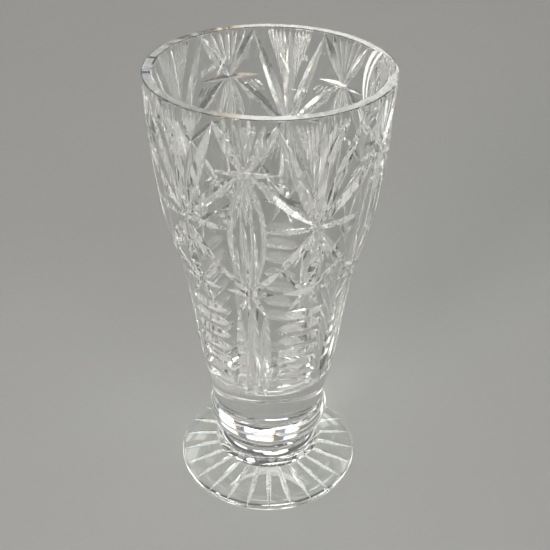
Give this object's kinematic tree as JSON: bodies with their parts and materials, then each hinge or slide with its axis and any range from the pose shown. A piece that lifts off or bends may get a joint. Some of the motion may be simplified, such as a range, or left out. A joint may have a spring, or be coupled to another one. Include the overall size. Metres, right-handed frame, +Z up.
{
  "type": "footed vase",
  "caption": "Tall flared cut crystal vase with star, fan and ladder cutting, a rounded collar, a waisted stem and a disc foot with radial cuts.",
  "frame": {"origin": "centre of the flat face the foot rests on", "axes": "+Z up the vase's axis, -Y towards the viewer of the picture, +X to that viewer's right"},
  "size_m": [0.1504, 0.1504, 0.305],
  "materials": {
    "bowl_glass": "clear lead crystal, fire-smooth inside, polished cuts outside",
    "collar_glass": "clear lead crystal, polished",
    "stem_glass": "clear lead crystal, polished",
    "foot_glass": "clear lead crystal, polished, radial cuts underneath"
  },
  "bodies": {
    "root": {"bowl": "bowl_glass", "collar": "collar_glass", "stem": "stem_glass", "foot": "foot_glass"}
  },
  "joints": []
}
